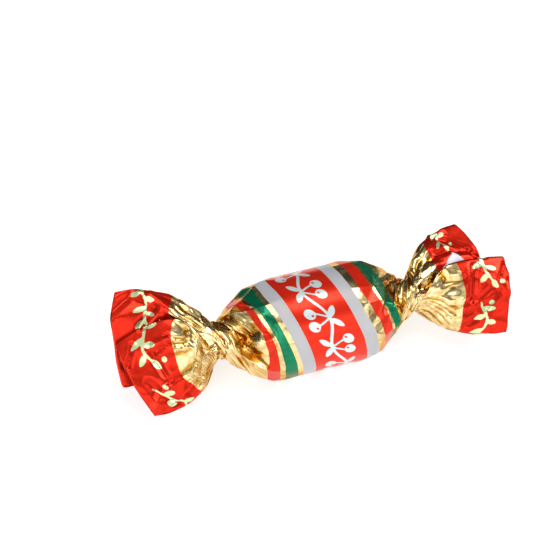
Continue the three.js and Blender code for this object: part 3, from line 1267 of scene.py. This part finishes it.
CREASE_LINES = {  # height, reach and path of each crease
    Side.LEFT: (
        (-0.59, 1.0, (12.8, 1.2), (12.2, -0.5), (10.6, -5.4)),
        (-0.45, 0.8, (15.7, 3.1), (17.4, -0.6)),
        (-0.45, 0.9, (11.2, -5.4), (8.3, -4.4), (5.0, -2.6)),
        (0.45, 0.9, (13.3, 0.8), (11.5, 2.3), (8.7, 2.8)),
        (0.39, 0.8, (12.5, -0.2), (9.3, 0.6), (6.0, 0.6)),
        (-0.45, 0.8, (10.2, -8.6), (6.9, -8.3), (4.0, -5.6)),
        (0.52, 1.4, (15.2, -11.4), (13.6, -8.4), (10.9, -5.4)),
        (0.45, 1.2, (9.9, 11.4), (7.6, 8.2), (4.6, 4.4)),
        (-0.45, 1.4, (13.2, 12.6), (18.2, 9.5)),
        (-0.52, 1.1, (9.6, 9.0), (13.2, 6.2)),
        (-0.52, 1.3, (14.4, -4.6), (12.6, -7.6), (9.0, -9.8)),
        (-0.8, 1.5, (0.3, 4.6), (-3.1, 1.8), (-5.3, 0.0), (-8.3, -1.2)),
        (-0.6, 1.5, (-4.0, 1.2), (-4.5, -3.2), (-5.6, -6.2)),
        (-0.35, 1.5, (-5.4, -5.9), (-8.6, -5.3)),
        (0.6, 2.2, (-2.4, 5.4), (-5.8, 3.4), (-8.6, 2.6)),
        (0.6, 2.0, (-2.2, -2.2), (-7.6, -3.0)),
    ),
    Side.RIGHT: (
        (-0.52, 1.0, (6.7, 9.9), (9.7, 8.1), (11.4, 7.1), (13.6, 5.8)),
        (-0.45, 0.8, (6.6, 6.2), (9.5, 6.4), (13.2, 5.5), (14.8, 3.9)),
        (-0.52, 1.0, (12.0, 2.4), (10.6, -3.8)),
        (-0.52, 1.1, (9.0, -4.1), (12.4, -3.9), (14.7, -2.7), (17.0, -1.5), (18.6, 1.2)),
        (-0.45, 1.0, (8.8, -6.1), (12.0, -5.5), (14.5, -5.0), (17.0, -2.8)),
        (-0.39, 0.9, (7.8, -7.9), (10.5, -7.5), (12.8, -5.9)),
        (-0.3, 1.2, (5.4, 5.0), (5.2, 0.6), (9.4, 0.4)),
        (0.45, 1.4, (12.6, 1.6), (15.8, -1.0), (18.4, -4.2)),
        (-0.6, 1.4, (-1.0, 4.4), (-4.6, 2.2), (-7.4, -2.4)),
        (0.6, 1.5, (-0.8, 1.6), (-3.8, -1.4), (-5.6, -5.4)),
    ),
}
PLEAT_BUNDLES = {  # lowest and highest ray, nearest and farthest distance, step and height of each bundle
    Side.LEFT: (
        ((-3.0, 24.0), (4.0, 11.5), 4.6, 0.17),
        ((-58.0, -24.0), (2.5, 10.5), 5.6, 0.2),
        ((38.0, 62.0), (3.5, 11.5), 6.2, 0.16),
    ),
    Side.RIGHT: (
        ((-52.0, -14.0), (2.5, 10.0), 8.2, 0.14),
        ((48.0, 78.0), (2.5, 9.0), 7.0, 0.15),
    ),
}


@dataclass(frozen=True)
class Crumple:
    """Crisp creases that cross the settled film.

    Attributes:
        flats: Large flat panels that the film lies in over the shoulders.
        flatness: How flat those panels are, from 0 to 1.
        flats_stand: How far they stand off, as the film's creases hold it away from the chocolate.
        broad: Facets a few millimetres wide.
        gathers: Long narrow facets that run out of the necks.
        broad_height: Height of the broad facets.
        gather_height: Height of the gathers.
        gather_reach: How far from a neck the gathers reach over its fan.
        shoulder_reach: How far they reach over its shoulder.
        edge_calm: Share of the broad facets that is left at a fan's free edge.
        edge_span: Distances beyond the neck between which they calm down.
        panel_calm: Share of the broad facets that the flat panels take away.
        panel_span: Distances inside the neck between which the panels begin.
        crush: How far the broad facets shift the print along the film.
        seam_turn: Where the film's overlap ends, in turns; it is at the back.
        seam_height: Height of the overlap's edge.
        seam_run: Length over which the overlap rises to it, in turns.
        level_rounds: Rounds of smoothing that level the film, to find its hollows.
        hollow_from: How far below that level a point is when it begins to count as hollow.
        hollow_run: How much farther it is when it counts in full.
    """

    flats: Facets = Facets(11, 20, 23)
    flatness: float = 0.85
    flats_stand: float = 0.3
    broad: Facets = Facets(15, 26, 11)
    gathers: Facets = Facets(60, 15, 13)
    broad_height: float = 0.42
    gather_height: float = 0.18
    gather_reach: float = 9.0
    shoulder_reach: float = 4.0
    edge_calm: float = 0.35
    edge_span: tuple[float, float] = (12.0, 18.0)
    panel_calm: float = 0.6
    panel_span: tuple[float, float] = (1.2, 3.7)
    crush: float = 0.6
    seam_turn: float = 0.34
    seam_height: float = 0.1
    seam_run: float = 0.12
    level_rounds: int = 6
    hollow_from: float = 0.006
    hollow_run: float = 0.05

    def press(self, film: FilmTube, wrapper: TwistWrapper) -> None:
        """Presses the creases into the film's points, and shifts its print with them.

        Args:
            film: The film, whose points and print are changed.
            wrapper: The sweet's sizes.
        """
        rows, columns = film.along.shape
        on_shoulder = ease(-film.beyond, *self.panel_span)
        flat = (self.flatness * on_shoulder * film.slack)[..., None]
        film.points = film.points + flat * (self.flats.flattened(film.points) - film.points)
        film.points = film.points + self.flats_stand * flat * film.outward(wrapper.across_front)
        calm = 1 - (1 - self.edge_calm) * ease(film.beyond, *self.edge_span)
        calm = calm * (1 - self.panel_calm * on_shoulder)
        broad = film.sampled(self.broad.field(rows, columns)) * calm * film.slack
        reach = np.where(film.beyond < 0, self.shoulder_reach, self.gather_reach)
        near = 1 - smoothstep((np.abs(film.beyond) - 2.0) / reach)
        gathers = film.sampled(self.gathers.field(rows, columns)) * near * film.slack
        height = self.broad_height * broad + self.gather_height * gathers
        for side in Side:
            out, up, facing = wrapper.seen_from_front(film, side)
            creases = [Crease(lift, width, tuple(path)) for lift, width, *path in CREASE_LINES[side]]
            for crease in (*creases, *(RayPleats(*bundle) for bundle in PLEAT_BUNDLES[side])):
                height += crease.lift(out, up) * facing
        behind = film.turn - self.seam_turn
        lapped = np.where(behind < 0, np.clip(1 + behind / self.seam_run, 0, 1), 0.0)
        height += self.seam_height * lapped
        film.points = film.points + film.outward(wrapper.across_front) * height[..., None]
        lift_to_table(film.points)
        film.along = film.along + self.crush * broad

    @classmethod
    def hollows(cls, film: FilmTube) -> np.ndarray:
        """Finds the film's concave creases, where the shader paints shade.

        Args:
            film: The finished film.

        Returns:
            How deep in a crease each point lies, from 0 to 1.
        """
        level = film.points.copy()
        for _ in range(cls.level_rounds):
            level = 0.5 * level + 0.25 * (before(level) + after(level))
            level[1:-1] = 0.5 * level[1:-1] + 0.25 * (level[:-2] + level[2:])
        sunk = ((level - film.points) * surface_normals(film.points)).sum(axis=-1)
        return smoothstep((sunk - cls.hollow_from) / cls.hollow_run)


@dataclass(frozen=True)
class FineCrumple:
    """The finest creases of the loose film, made by a Geometry Nodes tree that also dresses the film.

    Attributes:
        facet_size: Width of a facet on the flat film, in millimetres.
        stretch: How much longer a facet is along the film than round it.
        crease_height: Height between a facet's middle and its creases, in millimetres.
        seed: Fixes where the facets lie.
        film_width: Width of the film round the barrel, in millimetres.
        swing: Scale and shift that turn a facet's random share into its own height.
        crease_shade_fade: How fast the painted shade along a crease fades out over its facet.
        seed_step: How far one seed's facets lie from the next one's.
    """

    facet_size: float = 1.7
    stretch: float = 1.5
    crease_height: float = 0.07
    seed: int = 7
    film_width: float = FILM_WIDTH
    swing: tuple[float, float] = (4.0, -1.6)
    crease_shade_fade: float = 6.0
    seed_step: float = 31.7

    def inputs(self, finish: bpy.types.Material) -> dict[str, tuple[str, object]]:
        """Lists the tree's inputs.

        Args:
            finish: The film's material.

        Returns:
            The kind of each named socket and the value it gets.
        """
        return {
            "Facet Size": ("NodeSocketFloat", self.facet_size),
            "Stretch": ("NodeSocketFloat", self.stretch),
            "Crease Height": ("NodeSocketFloat", self.crease_height * MM),
            "Seed": ("NodeSocketInt", self.seed),
            "Film Width": ("NodeSocketFloat", self.film_width),
            "Finish": ("NodeSocketMaterial", finish),
        }

    def tree(self, finish: bpy.types.Material) -> bpy.types.NodeTree:
        """Builds the tree.

        Args:
            finish: The film's material.

        Returns:
            The tree, which lifts each facet of the film along its normal and sets the finish.
        """
        tree = bpy.data.node_groups.new("fine_crumple", "GeometryNodeTree")
        face = tree.interface
        face.new_socket(name="Film", in_out="INPUT", socket_type="NodeSocketGeometry")
        for name, (kind, _) in self.inputs(finish).items():
            face.new_socket(name=name, in_out="INPUT", socket_type=kind)
        face.new_socket(name="Film", in_out="OUTPUT", socket_type="NodeSocketGeometry")
        build = Wiring(tree)
        given, reckon = build.add("NodeGroupInput").outputs, build.reckon

        def attribute(name: str) -> Socket:
            """Returns one of the film's own attributes."""
            node = build.add("GeometryNodeInputNamedAttribute", {"Name": name}, data_type="FLOAT")
            return node.outputs["Attribute"]

        angle = reckon("MULTIPLY", attribute("turn"), FULL_TURN)
        radius = reckon("DIVIDE", reckon("DIVIDE", given["Film Width"], FULL_TURN), given["Facet Size"])
        facet_length = reckon("MULTIPLY", given["Facet Size"], given["Stretch"])
        lengthwise = reckon("DIVIDE", attribute("along"), facet_length)
        rolled = {
            "X": reckon("MULTIPLY", reckon("COSINE", angle), radius),
            "Y": reckon("MULTIPLY", reckon("SINE", angle), radius),
            "Z": reckon("MULTIPLY_ADD", given["Seed"], self.seed_step, lengthwise),
        }
        spot = build.add("ShaderNodeCombineXYZ", rolled).outputs["Vector"]
        facets, cells = (
            build.add("ShaderNodeTexVoronoi", {"Vector": spot, "Scale": 1.0}, feature=feature).outputs
            for feature in ("DISTANCE_TO_EDGE", "F1")
        )
        sign = build.add("ShaderNodeSeparateXYZ", {"Vector": cells["Color"]}).outputs["X"]
        swing = reckon("MULTIPLY_ADD", sign, *self.swing)
        rise = reckon("MULTIPLY", reckon("MULTIPLY", facets["Distance"], swing), given["Crease Height"])
        rise = reckon("MULTIPLY", reckon("MULTIPLY", rise, attribute("slack")), attribute("outwards"))
        normal = build.add("GeometryNodeInputNormal").outputs["Normal"]
        lift = build.add("ShaderNodeVectorMath", {0: normal, "Scale": rise}, operation="SCALE")
        position = build.add("GeometryNodeInputPosition").outputs["Position"]
        moved = {0: position, 1: lift.outputs["Vector"]}
        moved = build.add("ShaderNodeVectorMath", moved).outputs["Vector"]
        parts = build.add("ShaderNodeSeparateXYZ", {"Vector": moved}).outputs
        above = {"X": parts["X"], "Y": parts["Y"], "Z": reckon("MAXIMUM", parts["Z"], 0.0)}
        place = build.add("ShaderNodeCombineXYZ", above).outputs["Vector"]
        # Painted shade: a mark that is 1 on a fine crease and fades out over its facet, stored for the
        # shader to darken the foil there.
        near_crease = reckon("MULTIPLY_ADD", facets["Distance"], -self.crease_shade_fade, 1.0)
        crease_shade_mark = reckon("MULTIPLY", reckon("MAXIMUM", near_crease, 0.0), attribute("slack"))
        node = build.add("GeometryNodeStoreNamedAttribute", data_type="FLOAT")
        build.feed(node, {"Geometry": given["Film"], "Name": "fine_crease_shade", "Value": crease_shade_mark})
        for kind, inputs in (
            ("GeometryNodeSetPosition", {"Position": place}),
            ("GeometryNodeRealizeInstances", {}),
            ("GeometryNodeSetMaterial", {"Material": given["Finish"]}),
        ):
            node = build.add(kind, {"Geometry": node.outputs["Geometry"], **inputs})
        build.add("NodeGroupOutput", {"Film": node.outputs["Geometry"]})
        return tree

    def apply(self, piece: bpy.types.Object, finish: bpy.types.Material) -> None:
        """Creases and dresses the film's mesh for good.

        Args:
            piece: The film's object, whose mesh is replaced.
            finish: The film's material.
        """
        tree = self.tree(finish)
        modifier = piece.modifiers.new("fine_crumple", "NODES")
        modifier.node_group = tree
        values = self.inputs(finish)
        for socket in tree.interface.items_tree:
            if socket.in_out == "INPUT" and socket.name in values:
                modifier[socket.identifier] = values[socket.name][1]
        graph = bpy.context.evaluated_depsgraph_get()
        creased = bpy.data.meshes.new_from_object(piece.evaluated_get(graph))
        piece.modifiers.remove(modifier)
        plain = piece.data
        piece.data = creased
        bpy.data.meshes.remove(plain)
        creased.name = piece.name


@dataclass(frozen=True)
class PrintLay:
    """How the print's bands shift where the shoulders' film is gathered up.

    Attributes:
        span: Distances from the middle where the gathering starts, is largest and has evened out.
        taken_up: Length of film that is taken up where it is largest.
        shares: For each end, the share of that at places round the film, in turns.
    """

    span: tuple[float, float, float] = (8.5, 13.5, 18.5)
    taken_up: float = 2.2
    shares: dict[Side, tuple[Spot, ...]] = field(
        default_factory=lambda: {
            Side.LEFT: (
                (0.0, 0.0), (0.25, 0.4), (0.45, 0.0), (0.6, -0.45),
                (0.69, 0.8), (0.76, 1.0), (0.82, 0.8), (0.91, 0.0),
            ),
            Side.RIGHT: (
                (0.0, -0.35), (0.25, -0.1), (0.42, 0.3), (0.5, 0.8), (0.55, 0.3),
                (0.6, -0.25), (0.7, -0.1), (0.8, -0.3), (0.93, -0.35),
            ),
        }
    )

    def shift(self, film: FilmTube) -> None:
        """Moves the print on the film to where the gathering leaves it.

        Args:
            film: The film, whose print is moved.
        """
        gathered = self.taken_up * np.interp(np.abs(film.along), self.span, (0.0, 1.0, 0.0))
        along = film.along.copy()
        for side, shares in self.shares.items():
            here = np.sign(along) == side.value
            turns, parts = zip(*shares)
            share = np.interp(film.turn, turns, parts, period=1.0)
            film.along = np.where(here, along + side.value * share * gathered, film.along)


@dataclass(frozen=True)
class PrintedFoil:
    """Gold foil film with printed bands, the pale inner face of its fans, and painted shade in its
    creases.

    Attributes:
        gold, crease_shade: The bare foil, and the painted shade, a darker warm gold, that is multiplied
            into it deep in a crease.
        red, fan_red, green, white, line: The print's bands.
        lining: The film's reverse.
        spray, sprig: The ornaments on the barrel and on the fans.
        wrinkle_size: Size of the finest wrinkles, in metres.
        wrinkle_height: Their height, in metres.
        metal, rough: How metallic and how rough each band is, from 0 to 1.
        fine_shade_share: Weight of the painted shade in the finest creases beside that in the larger ones.
        ink_edge: Half width of an ornament's soft edge, in millimetres.
        reach: How far the print is drawn either way from the middle, in millimetres.
        coat, coat_roughness: The clear lacquer's weight and roughness.
        edge_tint: Tint of the foil where it is seen at a grazing angle.
    """

    gold: Rgba = colour(231, 211, 154)
    # Painted shade: a darker warm gold that the shader multiplies into the foil deep in its creases.
    crease_shade: Rgba = colour(204, 158, 76)
    red: Rgba = colour(214, 40, 20)
    fan_red: Rgba = colour(216, 38, 19)
    green: Rgba = colour(0, 122, 86)
    white: Rgba = colour(170, 171, 175)
    line: Rgba = colour(190, 232, 232)
    lining: Rgba = colour(216, 218, 230)
    spray: Rgba = colour(206, 222, 222)
    sprig: Rgba = colour(205, 222, 168)
    wrinkle_size: float = 0.0009
    wrinkle_height: float = 0.000014
    metal: dict[str, float] = field(
        default_factory=lambda: dict(gold=1.0, red=0.35, fan_red=0.72, green=0.6, white=0.0, line=0.0)
    )
    rough: dict[str, float] = field(
        default_factory=lambda: dict(gold=0.15, red=0.2, fan_red=0.23, green=0.2, white=0.35, line=0.3)
    )
    fine_shade_share: float = 0.55
    ink_edge: float = 0.02
    reach: float = 64.0
    coat: float = 0.06
    coat_roughness: float = 0.12
    edge_tint: Rgba = (0.8, 0.45, 0.28, 1.0)

    def bands(self) -> list[tuple[float, str]]:
        """Lists the bands of print.

        Returns:
            Where each begins, in millimetres along the film, and its name.
        """
        left, right = (TwistWrapper().fan_start(side) for side in Side)
        left_fan = ((-60.0, "fan_red"), (left - PRINT_BARE, "gold"))
        left_bands = ((-14.3, "red"), (-12.1, "gold"), (-11.4, "green"), (-8.8, "gold"), (-7.75, "white"))
        middle = ((-5.45, "line"), (-5.3, "red"), (5.35, "line"), (5.5, "white"))
        right_bands = ((7.9, "gold"), (9.3, "red"), (11.2, "gold"), (12.0, "green"), (13.9, "gold"))
        return [*left_fan, *left_bands, *middle, *right_bands, (right + PRINT_BARE, "fan_red")]

    def material(self) -> bpy.types.Material:
        """Builds the shader of the printed film.

        Returns:
            The material, which reads the film's own attributes.
        """
        material = bpy.data.materials.new("printed_foil")
        material.use_nodes = True
        build = Wiring(material.node_tree)
        reckon = build.reckon

        def attribute(name: str) -> Socket:
            """Returns one of the film's own attributes."""
            return build.add("ShaderNodeAttribute", attribute_name=name).outputs["Fac"]

        def mixed(share: object, first: object, second: object, blend: str = "MIX") -> Socket:
            """Returns two colours mixed by a share."""
            inputs = {0: share, 6: first, 7: second}
            return build.add("ShaderNodeMix", inputs, data_type="RGBA", blend_type=blend).outputs[2]

        def banded(stops: list[tuple[float, Rgba]]) -> Socket:
            """Returns colours that change in steps at places along the film."""
            steps = [((where + self.reach) / (2 * self.reach), shade) for where, shade in stops]
            return build.ramp(place, steps, "CONSTANT")

        place = build.ranged(attribute("along"), -self.reach, self.reach)
        # Painted shade: how deep each point lies in a crease, the larger ones and the finest, as a share
        # from 0 to 1.
        creased = reckon("MULTIPLY_ADD", attribute("fine_crease_shade"), self.fine_shade_share, attribute("crease"))
        creased.node.use_clamp = True
        shine = banded([(at, (self.metal[band], self.rough[band], 0, 1)) for at, band in self.bands()])
        shine = build.add("ShaderNodeSeparateColor", {"Color": shine}).outputs
        tint = banded([(at, getattr(self, band)) for at, band in self.bands()])
        # Painted shade: in a crease the tint is multiplied by a darker warm gold, as far as the band is
        # metallic.
        tint = mixed(reckon("MULTIPLY", creased, shine["Red"]), tint, self.crease_shade, "MULTIPLY")
        ink = banded([(-60.0, self.sprig), (-20.0, self.spray), (20.0, self.sprig)])
        drawn = build.ranged(attribute("motif"), -self.ink_edge, self.ink_edge)
        inside = attribute("inside")
        grain_inputs = {
            "Vector": build.add("ShaderNodeTexCoord").outputs["Object"],
            "Scale": 1.0 / self.wrinkle_size,
            "Detail": 2.0,
        }
        grain = build.add("ShaderNodeTexNoise", grain_inputs).outputs["Fac"]
        wrinkled = reckon("MULTIPLY", grain, attribute("slack"))
        bump = build.add("ShaderNodeBump", {"Distance": self.wrinkle_height, "Height": wrinkled})
        surface = {
            "Base Color": mixed(inside, mixed(drawn, tint, ink), self.lining),
            "Metallic": reckon("MULTIPLY", shine["Red"], reckon("SUBTRACT", 1.0, inside)),
            "Roughness": shine["Green"],
            "Normal": bump.outputs["Normal"],
            "Coat Weight": self.coat,
            "Coat Roughness": self.coat_roughness,
            "Specular Tint": self.edge_tint,
        }
        build.feed(build.tree.nodes["Principled BSDF"], surface)
        return material


@dataclass(frozen=True)
class Softbox:
    """A soft light that faces the sweet.

    Attributes:
        name: Its name.
        place: Where it hangs, in metres.
        size: Its width and height, in metres.
        power: Its power, in watts.
    """

    name: str
    place: tuple[float, float, float]
    size: tuple[float, float]
    power: float

    def hang(self) -> None:
        """Hangs the light."""
        data = bpy.data.lights.new(self.name, "AREA")
        data.shape = "RECTANGLE"
        data.size, data.size_y = self.size
        data.energy = self.power
        light = bpy.data.objects.new(self.name, data)
        light.location = self.place
        aim = Vector(SWEET_MIDDLE) - Vector(self.place)
        light.rotation_euler = aim.to_track_quat("-Z", "Y").to_euler()
        bpy.context.scene.collection.objects.link(light)


@dataclass(frozen=True)
class Studio:
    """The pale floor, soft lights and camera.

    Attributes:
        azimuth: Angle of the camera round the sweet, in degrees.
        elevation: Angle of the camera above the table, in degrees.
        distance: From the sweet to the camera.
        pixel: Size of a pixel at the sweet.
        target: The point that is framed.
        framed_at: Where the target is in the picture, in pixels.
        picture: Width and height of the picture, in pixels.
        floor_half: Half of the floor's width, in metres.
        floor_grey: The floor's own colour.
        floor_glow: Its glow, which keeps it white under the sweet.
        bands: Heights, from 0 straight down to 1 straight up, and the room's brightness there.
        dimming: Where the room dims behind the sweet, from and to, and its brightness there.
        softboxes: The lights.
    """

    azimuth: float = -18.5
    elevation: float = 45.0
    distance: float = 450.0
    pixel: float = 0.19
    target: tuple[float, float, float] = (-0.35, -0.08, 9.4)
    framed_at: tuple[float, float] = (312.0, 320.0)
    picture: float = 540.0
    floor_half: float = 1.6
    floor_grey: float = 0.55
    floor_glow: float = 0.66
    bands: tuple[Spot, ...] = (
        (0.0, 0.6), (0.49, 0.5), (0.5, 0.1), (0.53, 0.1), (0.55, 0.75), (0.64, 0.75), (0.66, 0.12),
        (0.7, 0.12), (0.72, 0.8), (0.84, 0.8), (0.87, 0.25), (0.91, 0.25), (0.94, 0.6),
    )
    dimming: tuple[float, float, float, float] = (0.1, 0.6, 1.0, 0.15)
    softboxes: tuple[Softbox, ...] = (
        Softbox("front_softbox", (-0.55, -0.6, 0.6), (0.7, 0.6), 2.4),
        Softbox("top_softbox", (0.1, -0.1, 1.2), (0.7, 0.5), 4.6),
        Softbox("right_softbox", (0.75, -0.15, 0.55), (0.3, 0.5), 3.5),
        Softbox("low_softbox", (-0.1, -0.9, 0.36), (1.6, 0.72), 3.6),
    )

    def camera(self) -> bpy.types.Object:
        """Makes the camera at the photograph's viewing angle.

        Returns:
            The camera.
        """
        a, e = math.radians(self.azimuth), math.radians(self.elevation)
        back = Vector((math.sin(a) * math.cos(e), -math.cos(a) * math.cos(e), math.sin(e)))
        right = Vector((math.cos(a), math.sin(a), 0.0))
        up = back.cross(right)
        aim = Vector(self.target)
        aim -= right * (self.framed_at[0] - self.picture / 2) * self.pixel
        aim += up * (self.framed_at[1] - self.picture / 2) * self.pixel
        lens = bpy.data.cameras.new("camera")
        lens.sensor_width = 36.0
        lens.lens = lens.sensor_width * self.distance / (self.picture * self.pixel)
        lens.clip_start = 0.01
        lens.clip_end = 20.0
        camera = bpy.data.objects.new("camera", lens)
        camera.matrix_world = Matrix.Translation((aim + back * self.distance) * MM) @ Matrix(
            (right, up, back)
        ).transposed().to_4x4()
        bpy.context.scene.collection.objects.link(camera)
        bpy.context.scene.camera = camera
        return camera

    def floor(self) -> bpy.types.Object:
        """Makes the pale floor under the sweet.

        Returns:
            The floor, declared as stage.
        """
        data = bpy.data.meshes.new("floor")
        half = self.floor_half
        corners = [(-half, -half, 0), (half, -half, 0), (half, half, 0), (-half, half, 0)]
        data.from_pydata(corners, [], [(0, 1, 2, 3)])
        material = bpy.data.materials.new("pale_floor")
        material.use_nodes = True
        surface = {
            "Base Color": (self.floor_grey, self.floor_grey, self.floor_grey, 1),
            "Roughness": 0.8,
            "Emission Color": (1, 1, 1, 1),
            "Emission Strength": self.floor_glow,
        }
        build = Wiring(material.node_tree)
        build.feed(build.tree.nodes["Principled BSDF"], surface)
        data.materials.append(material)
        floor = bpy.data.objects.new("floor", data)
        bpy.context.scene.collection.objects.link(floor)
        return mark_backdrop(floor)

    def world(self) -> None:
        """Fills the room with soft light in even bands, dimmer between them and behind the sweet."""
        world = bpy.data.worlds.new("room")
        bpy.context.scene.world = world
        world.use_nodes = True
        build = Wiring(world.node_tree)
        where = build.add("ShaderNodeTexCoord").outputs["Generated"]
        where = build.add("ShaderNodeSeparateXYZ", {"Vector": where}).outputs
        height = build.ranged(where["Z"], -1.0, 1.0)
        light = {
            "Color": build.ramp(height, [(at, (grey, grey, grey, 1)) for at, grey in self.bands]),
            "Strength": build.ranged(where["Y"], *self.dimming),
        }
        build.feed(build.tree.nodes["Background"], light)

    def build(self) -> None:
        """Sets up the whole studio."""
        self.camera()
        self.floor()
        self.world()
        for softbox in self.softboxes:
            softbox.hang()
        bpy.context.scene.view_settings.view_transform = "Standard"


def main() -> None:
    """Builds the wrapper and the studio, and reports each piece."""
    wrapper = TwistWrapper()
    film = wrapper.film()
    PrintLay().shift(film)
    FilmSettling().settle(film, wrapper)
    Crumple().press(film, wrapper)
    piece = wrapper.mesh(film, Ornaments().draw(film))
    FineCrumple().apply(piece, PrintedFoil().material())
    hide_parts("twist_wrapper")
    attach(piece, "root")
    log.info("printed wrapper: %d faces", len(piece.data.polygons))
    Studio().build()
    log.info("studio: floor, four softboxes and camera")


if __name__ == "__main__":
    logging.basicConfig(level=logging.INFO)
    main()
